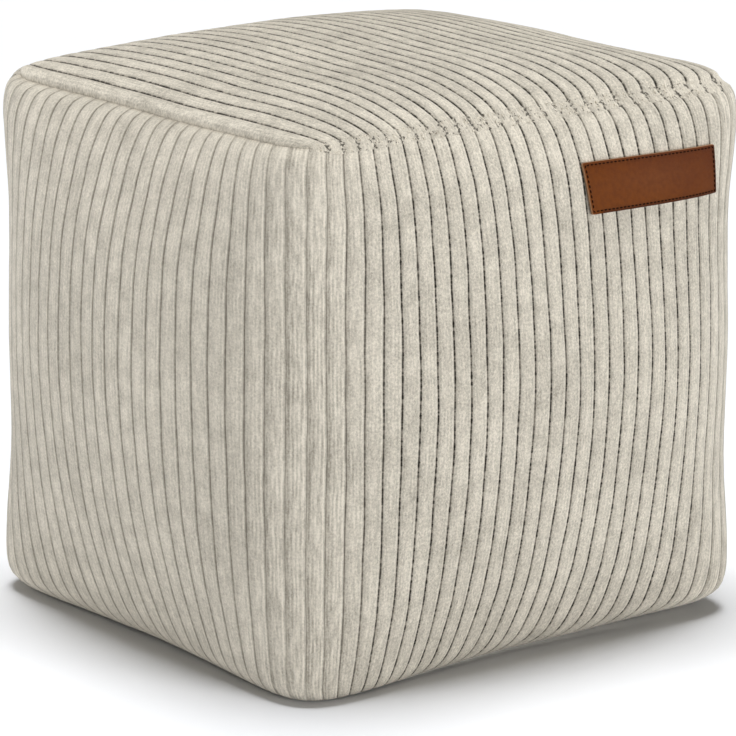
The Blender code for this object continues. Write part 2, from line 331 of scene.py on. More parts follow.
def settled_cover():
    """Blow up a coarse cover of the filling and return how unevenly it comes to rest on the form.

    The result is the rows of the band, its moves over rows and places, and the dome's moves.
    """
    places = np.linspace(0, 4, 4 * CAGE_CELLS, endpoint=False)
    rows, _ = even_rows(CAGE_ROWS)
    band = np.array([ring(row, places) for row in rows])
    t = np.linspace(-1, 1, CAGE_CELLS + 1)
    u, v = np.meshgrid(t, t, indexing="ij")
    dome = seam_patch(band[-1], u, v)
    dome[..., 2] += crown(u, v)

    columns = 4 * CAGE_CELLS
    points = list(band.reshape(-1, 3))
    faces = grid_faces(CAGE_ROWS, columns, closed=True)
    last = CAGE_CELLS
    number = {}
    for k in range(last):
        for side, corner in enumerate(((k, 0), (last, k), (last - k, last), (0, last - k))):
            number[corner] = (CAGE_ROWS - 1) * columns + side * last + k
    for i in range(1, last):
        for j in range(1, last):
            number[i, j] = len(points)
            points.append(dome[i, j])
    for i in range(last):
        for j in range(last):
            faces.append((number[i, j], number[i + 1, j], number[i + 1, j + 1], number[i, j + 1]))
    faces.append(tuple(reversed(range(columns))))

    mesh = bpy.data.meshes.new("cover")
    mesh.from_pydata([tuple(p) for p in points], [], faces)
    mesh.update()
    full = np.array([v.co for v in mesh.vertices])
    normal = np.array([v.normal for v in mesh.vertices])
    start = full - normal * SWELL
    mesh.vertices.foreach_set("co", start.ravel())
    cover = add_object("cover", mesh)
    held = cover.vertex_groups.new(name="held")
    held.add(list(range(columns)), 1.0, "REPLACE")
    cloth = cover.modifiers.new("cloth", "CLOTH")
    settings = {"quality": 6, "mass": 0.25, "tension_stiffness": 25, "compression_stiffness": 25,
                "shear_stiffness": 8, "bending_stiffness": 4, "use_pressure": True,
                "uniform_pressure_force": PRESSURE, "vertex_group_mass": "held"}
    for name, value in settings.items():
        setattr(cloth.settings, name, value)
    cloth.settings.effector_weights.gravity = 0
    cloth.collision_settings.use_collision = False
    scene = bpy.context.scene
    for moment in range(1, FRAMES + 1):
        scene.frame_set(moment)
    graph = bpy.context.evaluated_depsgraph_get()
    blown = cover.evaluated_get(graph).to_mesh()
    rest = np.array([v.co for v in blown.vertices])
    cover.evaluated_get(graph).to_mesh_clear()
    scene.frame_set(1)
    bpy.data.objects.remove(cover, do_unlink=True)

    # only how unevenly it settles along the normal is kept, scaled down
    outward = np.sum((rest - full) * normal, axis=1)
    loose = np.arange(len(full)) >= columns
    outward -= np.median(outward[loose])
    settled = outward * loose * (SETTLE_CAP / np.abs(outward[loose]).max())
    short = normal * settled[:, None]
    band_moves = short[:CAGE_ROWS * columns].reshape(CAGE_ROWS, columns, 3)
    dome_moves = np.array([[short[number[i, j]] for j in range(last + 1)] for i in range(last + 1)])
    return rows, band_moves, dome_moves


CAGE_TABLE_ROWS, BAND_MOVES, DOME_MOVES = settled_cover()


def band_points(row, places):
    """One section of the band, moved as its cover settles."""
    k = np.interp(row, CAGE_TABLE_ROWS, np.arange(CAGE_ROWS))
    low = min(int(k), CAGE_ROWS - 2)
    moves = BAND_MOVES[low] * (1 - (k - low)) + BAND_MOVES[low + 1] * (k - low)
    return ring(row, places) + at_places(moves, places)


def dome_move(u, v):
    """How the settled cover moves points of the top panel."""
    a = (np.clip(u, -1, 1) + 1) / 2 * CAGE_CELLS
    b = (np.clip(v, -1, 1) + 1) / 2 * CAGE_CELLS
    i = np.minimum(a.astype(int), CAGE_CELLS - 1)
    j = np.minimum(b.astype(int), CAGE_CELLS - 1)
    f, g = (a - i)[..., None], (b - j)[..., None]
    return ((1 - f) * (1 - g) * DOME_MOVES[i, j] + f * (1 - g) * DOME_MOVES[i + 1, j]
            + f * g * DOME_MOVES[i + 1, j + 1] + (1 - f) * g * DOME_MOVES[i, j + 1])


# ---- nodes: wires that can be added, multiplied and so on ----
def math_node(operation, swapped=False):
    """A method of a wire that adds one Math node."""
    def method(self, other=0.0):
        return self.work(operation, *((other, self) if swapped else (self, other)))
    return method


class Wire:
    """An output socket. Arithmetic on it adds the Math nodes that work it out."""

    def __init__(self, tree, socket):
        self.tree = tree
        self.socket = socket

    def work(self, operation, first, second=0.0, clamp=False):
        settings = {"operation": operation, "use_clamp": clamp}
        return self.tree.add("ShaderNodeMath", settings, {0: first, 1: second})

    __add__ = __radd__ = math_node("ADD")
    __sub__ = math_node("SUBTRACT")
    __rsub__ = math_node("SUBTRACT", swapped=True)
    __mul__ = __rmul__ = math_node("MULTIPLY")
    __truediv__ = math_node("DIVIDE")
    __pow__ = math_node("POWER")
    __abs__ = math_node("ABSOLUTE")
    sine = math_node("SINE")
    whole = math_node("ROUND")
    part = math_node("FRACT")  # what is left after the whole number

    def clamped(self):
        return self.work("ADD", self, clamp=True)

    def step(self, low, high):
        """0 below low, 1 above high and smooth between."""
        settings = {"interpolation_type": "SMOOTHSTEP"}
        sockets = {"Value": self, "From Min": low, "From Max": high}
        return self.tree.add("ShaderNodeMapRange", settings, sockets)


class Nodes:
    """A node tree, filled by one method."""

    def __init__(self, tree):
        self.tree = tree

    def find(self, sockets, key):
        if isinstance(key, int):
            return sockets[key]
        return next(s for s in sockets if key in (s.identifier, s.name) and s.enabled)

    def add(self, kind, settings=None, inputs=None, output=0):
        """Add a node with its settings, then its sockets' values or links; returns one output."""
        node = self.tree.nodes.new(kind)
        for name, value in (settings or {}).items():
            setattr(node, name, value)
        for key, value in (inputs or {}).items():
            socket = self.find(node.inputs, key)
            if isinstance(value, Wire):
                self.tree.links.new(value.socket, socket)
            else:
                socket.default_value = value
        return Wire(self, self.find(node.outputs, output))

    def vector(self, x=0.0, y=0.0, z=0.0):
        return self.add("ShaderNodeCombineXYZ", {}, {0: x, 1: y, 2: z})

    def noise(self, place, scale=1.0, detail=2.0, rough=0.5):
        """Smooth noise, about 0.5 on the whole."""
        return self.add("ShaderNodeTexNoise", {"noise_dimensions": "3D"},
                        {"Vector": place, "Scale": scale, "Detail": detail, "Roughness": rough})

    def mix(self, first, second, share):
        """Two colours mixed."""
        return self.add("ShaderNodeMix", {"data_type": "RGBA"},
                        {"Factor_Float": share, "A_Color": first, "B_Color": second}, "Result_Color")


class Finish(Nodes):
    """A material of one Principled shader."""

    def __init__(self, name, **values):
        self.material = bpy.data.materials.new(name)
        self.material.use_nodes = True
        super().__init__(self.material.node_tree)
        self.shader = self.tree.nodes["Principled BSDF"]
        for key, value in values.items():
            self.shader.inputs[key.replace("_", " ")].default_value = value

    def paint(self, socket, wire):
        self.tree.links.new(wire.socket, self.shader.inputs[socket])

    def bump(self, height, distance, strength=1.0):
        sockets = {"Height": height, "Distance": distance, "Strength": strength}
        self.paint("Normal", self.add("ShaderNodeBump", {}, sockets))

    def attribute(self, name):
        settings = {"attribute_type": "GEOMETRY", "attribute_name": name}
        return self.add("ShaderNodeAttribute", settings, {}, "Fac")

    def cloth_place(self):
        """Across the cloth, counted in wales on cord and in metres on leather, and along it in metres."""
        place = self.add("ShaderNodeUVMap", {"uv_map": "cloth"})
        across = self.add("ShaderNodeSeparateXYZ", {}, {0: place}, 0)
        along = self.add("ShaderNodeSeparateXYZ", {}, {0: place}, 1)
        return across, along


class Builder(Nodes):
    """A geometry node tree with named inputs, of which the first is its finish."""

    def __init__(self, name):
        super().__init__(bpy.data.node_groups.new(name, "GeometryNodeTree"))
        for way in ("OUTPUT", "INPUT"):
            self.tree.interface.new_socket(name="Geometry", in_out=way, socket_type="NodeSocketGeometry")
        self.sockets = {}
        self.source = self.tree.nodes.new("NodeGroupInput")
        self.sink = self.tree.nodes.new("NodeGroupOutput")
        self.geometry = Wire(self, self.source.outputs["Geometry"])
        self.finish = self.input("Finish", "Material")

    def input(self, name, kind="Float"):
        socket = self.tree.interface.new_socket(name=name, in_out="INPUT", socket_type="NodeSocket" + kind)
        self.sockets[name] = socket.identifier
        return Wire(self, self.find(self.source.outputs, name))

    def inputs(self, *names):
        return [self.input(name) for name in names]

    def attribute(self, name, kind="FLOAT"):
        return self.add("GeometryNodeInputNamedAttribute", {"data_type": kind}, {"Name": name}, "Attribute")

    def end(self, geometry):
        """Realize what was made, give it its finish and hand the builder back."""
        real = self.add("GeometryNodeRealizeInstances", {}, {"Geometry": geometry})
        done = self.add("GeometryNodeSetMaterial", {}, {"Geometry": real, "Material": self.finish})
        self.tree.links.new(done.socket, self.sink.inputs["Geometry"])
        return self

    def use_on(self, obj, **values):
        """Run the tree on an object with these inputs and keep the result as its plain mesh."""
        modifier = obj.modifiers.new(self.tree.name, "NODES")
        modifier.node_group = self.tree
        for name, value in values.items():
            modifier[self.sockets[name.replace("_", " ")]] = value
        keep_result(obj)


# ---- mesh helpers ----
def keep_result(obj):
    """Make what an object's modifiers give its plain mesh."""
    graph = bpy.context.evaluated_depsgraph_get()
    made = bpy.data.meshes.new_from_object(obj.evaluated_get(graph), preserve_all_data_layers=True,
                                           depsgraph=graph)
    obj.modifiers.clear()
    obj.data = made


def mesh_object(name, points, faces, finish):
    mesh = bpy.data.meshes.new(name)
    mesh.from_pydata([tuple(p) for p in points], [], faces)
    mesh.shade_smooth()
    mesh.materials.append(finish)
    return add_object(name, mesh)


def thicken(obj, thickness, side):
    """Give a sheet its thickness, to one side of it."""
    solid = obj.modifiers.new("thickness", "SOLIDIFY")
    solid.thickness = thickness
    solid.offset = side


def rest_on_floor(obj):
    """Press flat whatever of a piece would reach below the floor."""
    for vertex in obj.data.vertices:
        vertex.co.z = max(0.0, vertex.co.z)


def set_values(obj, **values):
    """Store a number for each point of a mesh under each name."""
    for name, numbers in values.items():
        layer = obj.data.attributes.new(name, "FLOAT", "POINT")
        layer.data.foreach_set("value", np.asarray(numbers, np.float32).ravel())


def set_cloth_map(obj, across, along, wrap):
    """Lay the cloth map: each point's wale and length, with the last column's wale set by wrap."""
    layer = obj.data.uv_layers.new(name="cloth")
    corners = np.empty(len(obj.data.loops), np.int64)
    obj.data.loops.foreach_get("vertex_index", corners)
    u, v = across[corners], along[corners]
    if wrap:
        start = np.empty(len(obj.data.polygons), np.int64)
        total = np.empty(len(obj.data.polygons), np.int64)
        obj.data.polygons.foreach_get("loop_start", start)
        obj.data.polygons.foreach_get("loop_total", total)
        face = np.repeat(np.arange(len(start)), total)
        widest = np.maximum.reduceat(u, start)[face]
        u = np.where(widest - u > wrap / 2, u + wrap, u)
    layer.data.foreach_set("uv", np.stack((u, v), axis=-1).astype(np.float32).ravel())


# ---- finishes ----
def cord_finish(name, light, line_start, dashed):
    """Velvety cord: fine ribs and brushed patches along each wale, painted light and shade across each wale,
    and painted shade in the valleys: a dark, broken line with grey flanks, and dark flecks on the brushed
    belts.
    """
    cord = Finish(name, Roughness=0.95, Sheen_Weight=0.18, Sheen_Roughness=0.5, Specular_IOR_Level=0.12)
    across, along = cord.cloth_place()
    wale = across.part()
    edge = abs(wale - 0.5) * 2
    own = (across - wale) * 5.37
    metres = across * WALE_PITCH
    cloud = cord.noise(cord.vector(metres * 16, along * 13, 4.4), detail=2)
    patches = cord.noise(cord.vector(own + wale * 0.7, along * 62, 3.1), detail=2, rough=0.6)
    streaks = cord.noise(cord.vector(metres * 620, along * 75, 7.7), detail=2)
    pile = cord.noise(cord.vector(metres * 760, along * 620, 1.3), detail=3, rough=0.75)
    ribs = (across * (2 * math.pi * 5)).sine()
    combed = cord.attribute("combed")
    ribbing = cord.noise(cord.vector(metres * 30, along * 12, 9.4), detail=1).step(0.42, 0.62)
    rib_tone = ribs * (ribbing * 0.05 + combed * 0.08)
    parted = cord.attribute("parted")
    # painted light and shade across each wale: one side of each wale lighter than the other, most near a
    # corner, a painted highlight line beside each valley, and the crowns painted lighter than the flanks
    lit_side = (wale - 0.5) * (combed * 0.34 + 0.08) + (1 - abs(wale - 0.87) * 14).clamped() * 0.16
    tone = (0.57 + lit_side + (0.5 - edge) * 0.20 + (cloud - 0.5) * 0.42
            + (patches - 0.5) * (0.58 - combed * 0.25)
            + (streaks - 0.5) * (combed * 0.7 + 0.6)
            # the pile's contrast rises with the same valley shade strength
            + (pile - 0.5) * (parted * 0.75 + 1.0) + rib_tone).clamped()
    colour = cord.mix(SHADE, light, tone)

    depth = cord.attribute("groove")
    brush = cord.attribute("brushed")
    line = across.whole() * 7.3
    broken = cord.noise(cord.vector(line, along * 390, 5.5), detail=2)
    strength = cord.noise(cord.vector(line + 3.3, along * 40, 8.5), detail=1)
    dashes = ((broken - 0.43) * 7 + 0.5).clamped() * dashed + (1 - dashed)
    ragged = (pile - 0.5) * 0.30 + (broken - 0.5) * 0.22
    # painted shade in the valleys: a dark, broken line, scaled by the groove's depth and by how strongly
    # each side's valleys are shaded
    dark = (edge + ragged).step(line_start, 1.0) * (strength * 2.8 - 0.15).clamped() * dashes
    # painted shade on the grey flanks beside each valley
    soft = (edge + ragged * 0.5).step(0.70, 1.0) * 0.30 * depth
    colour = cord.mix(colour, WEAR, soft)
    colour = cord.mix(colour, VALLEY, (dark * parted * depth).clamped())
    # painted shade: dark flecks in the gaps of the brushed pile on the belts, more of them over the valleys,
    # in the valley shade colour
    fleck = cord.noise(cord.vector(metres * 430, along * 560, 2.2), detail=2) + edge.step(0.45, 1.0) * 0.16
    fleck = fleck.step(0.63, 0.71) * brush
    colour = cord.mix(colour, VALLEY, (fleck * 0.9).clamped())
    cord.paint("Base Color", colour)
    height = streaks * 0.5 + pile * 1.0 + rib_tone + patches * 0.4
    cord.bump(height, 0.6 * MM)
    return cord.material


def tuft_finish():
    """Loose pile, mostly pale."""
    pile = Finish("loose_pile", Roughness=0.95, Specular_IOR_Level=0.1)
    place = pile.add("ShaderNodeTexCoord", {}, {}, "Object")
    tone = pile.noise(place, scale=330.0, detail=1).step(0.30, 0.50)
    pile.paint("Base Color", pile.mix(WEAR, LIGHT, tone))
    return pile.material


def leather_finish():
    """Waxed tan leather: cloudy colour, fine grain, orange at its left and foot and redder above, with a
    painted highlight in its middle, painted shade along its lower and right edges and a painted highlight on
    its top and left cut edges.
    """
    hide = Finish("tan_leather", Roughness=0.5, Specular_IOR_Level=0.09)
    across, up = hide.cloth_place()
    cloud = hide.noise(hide.vector(across * 30, up * 30, 1.0), detail=3)
    red = (across * 5.5 + up * 22 + 0.4 + (cloud - 0.5) * 1.1).clamped()
    colour = hide.mix(TAN, RED_TAN, red)
    # a painted highlight: a soft light spot in the patch's middle
    middle = (1 - abs(across) * 15).clamped() * (1 - abs(up - 2 * MM) * 50).clamped()
    colour = hide.mix(colour, WAXED, middle * 0.25)
    worn = hide.noise(hide.vector(across * 260, up * 260, 6.0), detail=2)
    colour = hide.mix(colour, SCUFFED, ((worn - 0.40) * 0.9).clamped())
    # painted shade along the lower and right edges, the ones turned from the light
    rim = hide.attribute("rim")
    colour = hide.mix(colour, PRESSED_RIM, (rim * 0.8).clamped())
    # the raw cut edge's colour, painted only along the top and left edges where the light falls: partly the
    # leather's own edge, partly a painted highlight
    cut_edge = hide.attribute("cut_edge")
    colour = hide.mix(colour, RAW_EDGE, (cut_edge * 0.75).clamped())
    hide.paint("Base Color", colour)
    grain = hide.add("ShaderNodeTexVoronoi", {"feature": "DISTANCE_TO_EDGE"},
                     {"Vector": hide.vector(across * 1400, up * 1400, 0.0), "Scale": 1.0}, "Distance")
    hide.bump(grain.step(0.0, 0.2) + cloud * 0.5, 0.06 * MM)
    return hide.material


def thread_finish():
    thread = Finish("brown_thread", Base_Color=THREAD, Roughness=0.8, Specular_IOR_Level=0.05)
    place = thread.add("ShaderNodeTexCoord", {}, {}, "Object")
    twist = thread.add("ShaderNodeTexWave", {"bands_direction": "DIAGONAL"}, {"Vector": place, "Scale": 900})
    thread.bump(twist, 0.05 * MM)
    return thread.material


# ---- the wales ----
def wale_builder():
    """Presses valleys between wales into a form whose points know their wale and place along it."""
    build = Builder("wales")
    height, roundness, uneven, seed = build.inputs("Wale height", "Roundness", "Unevenness", "Seed")
    wale, along, groove, brushed = map(build.attribute, ("wale", "along", "groove", "brushed"))
    edge = abs(wale.part() - 0.5) * 2
    profile = roundness * edge ** 3 + (1 - roundness) * edge ** 24
    depth = build.noise(build.vector(wale.whole() * 3.7, along * 26, seed)) - 0.5
    place = build.add("GeometryNodeInputPosition")
    fluff = build.noise(place, scale=420.0) - 0.5
    lump = build.noise(place, scale=38.0) - 0.5
    push = (lump * uneven * 1.6 + fluff * brushed * uneven * 2.5
            - height * profile * groove * (1 + depth * 0.7))
    normal = build.add("GeometryNodeInputNormal")
    offset = build.add("ShaderNodeVectorMath", {"operation": "SCALE"}, {"Vector": normal, "Scale": push})
    moved = build.add("GeometryNodeSetPosition", {}, {"Geometry": build.geometry, "Offset": offset})
    return build.end(moved)


def wale_columns(wales, first=0):
    """Column positions counted in wales, for this many wales."""
    return np.array([first + w + step for w in range(wales) for step in WALE_STEPS])


def wale_places():
    """Place round the ring of each wale boundary of the band, ending back at 4."""
    places = []
    for side, count in enumerate(WALES):
        places += [side + k / count for k in range(count)]
    return np.array(places + [4.0])


def seam_ends(distance, wale, total, seed):
    """Groove depth near an end seam: 0 at the seam and full past SEAM_REACH, each valley on its own."""
    own = np.random.default_rng(seed).uniform(0.55, 1.15, total)
    reach = SEAM_REACH * own[np.round(wale).astype(int) % total]
    t = np.clip((distance - 0.45 * reach) / (0.55 * reach), 0, 1)
    return t * t * (3 - 2 * t)


def band_columns(wale, boundary, run):
    """Places round the ring of columns counted in wales, strayed a little at this length."""
    total = len(boundary) - 1
    stray = WOBBLE / WALE_PITCH * wander(wale, run, total, 11)
    places = np.interp(np.mod(wale + stray, total), np.arange(total + 1), boundary)
    away = np.where(places > 2, places - 4, places)
    pull = FOOT_DRAW * max(0.0, 1 - run / FOOT_REACH) ** 2
    return places - pull * np.sin(np.clip(away, -1, 1) * np.pi)


def band_piece(build, finish):
    """The side band over its filling: a closed, crowned form with wales from base to top seam."""
    boundary = wale_places()
    total = len(boundary) - 1
    wale = wale_columns(total)
    side = np.interp(wale, np.arange(total + 1), boundary)
    rows, length = even_rows(BAND_ROWS)
    points = [band_points(row, band_columns(wale, boundary, run)) for row, run in zip(rows, length)]
    edge = points[-1]
    middle = edge.mean(axis=0)
    # the closing rings are hidden over the base panel and under the top panel
    below = [points[0] + (0, 0, BASE_THICK + BASE_CLEARANCE)]
    above = []
    for share in CLOSING_SHARES:
        inner = edge + (middle - edge) * share
        inner[:, 2] += (DOME_RISE - 2 * MM) * (1 - (1 - share) ** 3) ** 0.65 - PANEL_RECESS
        above.append(inner)
    columns = len(wale)
    rings = below + points + above
    run = np.concatenate(([length[0]], length, np.full(len(above), length[-1])))
    centre_low = len(rings) * columns
    base_middle = below[0].mean(axis=0)
    top_middle = middle + (0, 0, DOME_RISE - 2 * MM - PANEL_RECESS)
    flat = np.vstack((np.concatenate(rings), base_middle, top_middle))
    faces = grid_faces(len(rings), columns, closed=True)
    last = (len(rings) - 1) * columns
    for c in range(columns):
        n = (c + 1) % columns
        faces.append((n, c, centre_low))
        faces.append((last + c, last + n, centre_low + 1))
    obj = mesh_object("cord_band", flat, faces, finish)

    # the front and back ends of the band are brushed into the seam; the sides run up under the lip
    from_top = length[-1] - length
    ends = side % 2 < 1
    beside = corner_softness(wale, boundary)
    hidden = np.zeros(columns)
    groove, brushed = [hidden] * len(below), [hidden] * len(below)
    for r in range(BAND_ROWS):
        near_top = seam_ends(np.full(columns, from_top[r]), wale, total, 5)
        side_top = np.clip(from_top[r] / (6 * MM), 0, 1)
        near_base = np.clip(length[r] / (6 * MM), 0.2, 1)
        groove.append(np.where(ends, near_top, side_top) * near_base * (1 - 0.55 * beside))
        brushed.append(np.where(ends, np.clip(1.15 - from_top[r] / SEAM_REACH, 0, 1), 0.0))
    groove += [hidden] * len(above)
    brushed += [hidden] * len(above)
    # painted valley shade, set by side and weaker near the corners
    parted = side_parting(side) * (1 - 0.6 * beside)

    def on_all(column_values):
        """The same values on each ring, and none at the two closing points."""
        return np.append(np.tile(column_values, len(rings)), (0, 0))

    across, along = on_all(wale), np.append(np.repeat(run, columns), (0, 0))
    set_values(obj, wale=across, along=along, groove=np.append(groove, (0, 0)),
               brushed=np.append(brushed, (0, 0)), parted=on_all(parted), combed=on_all(beside))
    set_cloth_map(obj, across, along, wrap=total)
    build.use_on(obj, Finish=finish, Wale_height=WALE_HEIGHT, Roundness=0.16, Unevenness=0.45 * MM, Seed=2.0)
    rest_on_floor(obj)
    return obj


def corner_softness(wale, boundary):
    """1 at the band's four corners and falling to 0 a few wales away."""
    total = len(boundary) - 1
    soft = np.zeros_like(wale)
    for corner in np.cumsum((0,) + WALES):
        away = np.abs(wale - corner)
        soft = np.maximum(soft, np.exp(-(np.minimum(away, total - away) / CORNER_SOFT) ** 2))
    return soft


def side_parting(side):
    """How strongly the valleys are painted with shade: most on the front and back, least on the other sides.
    """
    return 0.66 + 0.34 * np.clip(np.cos((side - 0.5) * np.pi) * 2.2, -1, 1)


def lengthwise(v, level):
    """How far along a panel its points lie, and how far from its nearer end."""
    depth = 2 * level.half_depth * MM
    run = (v + 1) / 2 * depth
    return run, np.minimum(run, depth - run)


TOP_EDGE = ring(LAST_ROW, np.linspace(0, 4, 4 * TOP_EDGE_STEPS, endpoint=False))


def top_surface(w, v):
    """The dome at arrays of w, counted in wales, and v, from -1 at the front to 1 at the back."""
    u = np.clip(2 * w / TOP_WALES - 1, -1, 1)
    points = seam_patch(TOP_EDGE, u, v) + dome_move(u, v)
    from_side = np.clip(np.minimum(w, TOP_WALES - w), 0, 1)
    roll = np.sin(np.pi * from_side ** 0.8) * (1 - np.abs(v) ** 12)
    tucked = np.exp(-(from_side / 0.12) ** 2)
    points[..., 0] += np.sign(u) * LIP_OUT * roll * (1 - from_side)
    points[..., 2] += crown(u, v) + LIP_RISE * roll - LIP_TUCK * tucked
    return points


def top_piece(build, finish):
    """The domed top: wales run front to back and the outermost ones roll over the side seams."""
    wale = np.append(wale_columns(TOP_WALES), TOP_WALES)
    t = np.linspace(-1, 1, TOP_ROWS)
    v, w = np.meshgrid(np.sign(t) * (1 - (1 - np.abs(t)) ** 1.15), wale, indexing="ij")
    run, from_end = lengthwise(v, LEVELS[-1])
    inner = np.clip(np.minimum(w, TOP_WALES - w), 0, 1)
    stray = WOBBLE / WALE_PITCH * wander(w, run, 3 * TOP_WALES, 23) * inner
    points = top_surface(w + stray, v)
    rows, columns = v.shape
    obj = mesh_object("cord_top", points.reshape(-1, 3), grid_faces(rows, columns, closed=False), finish)
    groove = seam_ends(from_end, w, TOP_WALES + 1, 8) * np.clip(inner * 3 - 1, 0, 1)
    set_values(obj, wale=w, along=run, groove=groove,
               brushed=np.clip(1.15 - from_end / SEAM_REACH, 0, 1), parted=np.ones_like(w))
    set_cloth_map(obj, w.ravel(), run.ravel(), wrap=0)
    build.use_on(obj, Finish=finish, Wale_height=TOP_WALE_HEIGHT, Roundness=0.22, Unevenness=0.45 * MM,
                 Seed=6.0)
    thicken(obj, PANEL_THICK * SHEET_SHARE, -1)
    keep_result(obj)
    return obj


def base_piece(build, finish):
    """The flat base, its wales pressed flat against the floor."""
    edge = band_points(0, np.linspace(0, 4, 4 * BASE_EDGE_STEPS, endpoint=False))
    wale = np.append(wale_columns(BASE_WALES), BASE_WALES)[::2]
    v, w = np.meshgrid(np.linspace(-1, 1, BASE_ROWS), wale, indexing="ij")
    points = base_surface(edge, (2 * w / BASE_WALES - 1) * BASE_SHARE, v * BASE_SHARE)
    rows, columns = v.shape
    faces = [tuple(reversed(face)) for face in grid_faces(rows, columns, closed=False)]
    obj = mesh_object("cord_base", points.reshape(-1, 3), faces, finish)
    run, from_end = lengthwise(v, LEVELS[0])
    set_values(obj, wale=w, along=run, groove=np.clip(from_end / SEAM_REACH, 0, 1),
               brushed=np.zeros_like(w), parted=np.ones_like(w))
    set_cloth_map(obj, w.ravel(), run.ravel(), wrap=0)
    build.use_on(obj, Finish=finish, Wale_height=0.8 * MM, Roundness=0.2, Unevenness=0.0, Seed=9.0)
    thicken(obj, BASE_THICK * SHEET_SHARE, -1)
    keep_result(obj)
    rest_on_floor(obj)
    return obj


# ---- the patch ----
def front_table():
    """Depths of the front on an even grid of x and height: the two lines and the table."""
    places = np.linspace(0.02, 0.98, 161)
    lines = np.array([band_points(row, places) for row in np.linspace(2, LAST_ROW, 160)])
    xs = np.linspace(20 * MM, 175 * MM, 156)
    zs = np.linspace(280 * MM, 366 * MM, 87)
    heights = np.array([np.interp(xs, line[:, 0], line[:, 2]) for line in lines])
    depths = np.array([np.interp(xs, line[:, 0], line[:, 1]) for line in lines])
    return xs, zs, np.array([np.interp(zs, heights[:, k], depths[:, k]) for k in range(len(xs))])


def on_front(table, x, z):
    """The point of the front at x and height z, and its outward normal."""
    xs, zs, depths = table

    def at(px, pz):
        i = (px - xs[0]) / (xs[1] - xs[0])
        j = (pz - zs[0]) / (zs[1] - zs[0])
        a, b = int(i), int(j)
        f, g = i - a, j - b
        y = ((1 - f) * ((1 - g) * depths[a, b] + g * depths[a, b + 1])
             + f * ((1 - g) * depths[a + 1, b] + g * depths[a + 1, b + 1]))
        return Vector((px, y, pz))

    step = 3 * MM
    across = at(x + step, z) - at(x - step, z)
    up = at(x, z + step) - at(x, z - step)
    return at(x, z), across.cross(up).normalized()


def patch_place(a, b):
    """Where the patch's own a (across) and b (up), from its middle, lie in x and z."""
    x = PATCH_CENTRE_X + a * math.cos(PATCH_TILT) - b * math.sin(PATCH_TILT + PATCH_SKEW)
    z = PATCH_CENTRE_Z + a * math.sin(PATCH_TILT) + b * math.cos(PATCH_TILT + PATCH_SKEW)
    return x, z


def rounded(a, b, half_a, half_b, corner):
    """Draw a point of a rectangle in so that the rectangle's corners are round."""
    over_a = abs(a) - (half_a - corner)
    over_b = abs(b) - (half_b - corner)
    if over_a <= 0 or over_b <= 0:
        return a, b
    far = math.hypot(over_a, over_b)
    keep = max(over_a, over_b) / far
    return (math.copysign(half_a - corner + over_a * keep, a),
            math.copysign(half_b - corner + over_b * keep, b))


def patch_steps(half, corner, count):
    """Steps across half the patch and back, close together at the rounded corners and the edge."""
    line = [k * (half - corner) / count for k in range(count)]
    line += [half - corner * (1 - f) for f in (0.0, 0.35, 0.7, 1.0)]
    return sorted({round(side * s, 9) for s in line for side in (-1, 1)})


def patch_piece(table, finish):
    """The leather patch, bent to the front, with eased edges and a light press line by its stitches."""
    half_a, half_b = PATCH_WIDTH / 2, PATCH_HEIGHT / 2
    lines_a = patch_steps(half_a, PATCH_CORNER, 26)
    lines_b = patch_steps(half_b, PATCH_CORNER, 10)
    points, place, cut_edge, rim = [], [], [], []
    for b in lines_b:
        for a in lines_a:
            ra, rb = rounded(a, b, half_a, half_b, PATCH_CORNER)
            x, z = patch_place(ra, rb)
            here, normal = on_front(table, x, z)
            inset = min(half_a - abs(ra), half_b - abs(rb))
            press = 0.22 * MM * math.exp(-((inset - STITCH_INSET) / (0.7 * MM)) ** 2)
            points.append(here + normal * (2 * GAP - press))
            place.append((ra, rb))
            # lit is near 1 along the top and left edges, where the light falls
            lit = max(rb / half_b, -ra / half_a)
            cut_edge.append(1.0 if inset < 0.3 * MM and lit > 0.98 else 0.0)
            # painted shade along the rims of the edges that are not lit
            rim.append(math.exp(-(inset / (2.2 * MM)) ** 2) if lit < 0.85 else 0.0)
    obj = mesh_object("leather_label", points, grid_faces(len(lines_b), len(lines_a), False), finish)
    place = np.array(place)
    set_values(obj, cut_edge=cut_edge, rim=rim)
    set_cloth_map(obj, place[:, 0], place[:, 1], wrap=0)
    thicken(obj, PATCH_THICK, 1)
    edge = obj.modifiers.new("edge", "BEVEL")
    edge.width = 0.35 * MM
    edge.segments = 2
    edge.limit_method = "ANGLE"
    edge.angle_limit = math.radians(50)
    keep_result(obj)
    return obj


def stitch_builder():
    """Lays stitches a pitch apart along a closed path whose points know which way is out."""
    build = Builder("stitches")
    pitch, length, width = build.inputs("Pitch", "Length", "Width")
    curve = build.add("GeometryNodeMeshToCurve", {}, {"Mesh": build.geometry})
    even = build.add("GeometryNodeResampleCurve", {"mode": "LENGTH"}, {"Curve": curve, "Length": pitch})
    thread = build.add("GeometryNodeMeshUVSphere", {}, {"Segments": 8, "Rings": 6, "Radius": 0.5})
    size = build.vector(length, width, width)
    thread = build.add("GeometryNodeTransform", {}, {"Geometry": thread, "Scale": size})
    tangent = build.add("GeometryNodeInputTangent")
    out = build.attribute("out", "FLOAT_VECTOR")
    turn = build.add("FunctionNodeAlignRotationToVector", {"axis": "X"}, {"Vector": tangent})
    turn = build.add("FunctionNodeAlignRotationToVector", {"axis": "Z", "pivot_axis": "X"},
                     {"Rotation": turn, "Vector": out})
    laid = build.add("GeometryNodeInstanceOnPoints", {},
                     {"Points": even, "Instance": thread, "Rotation": turn})
    return build.end(laid)


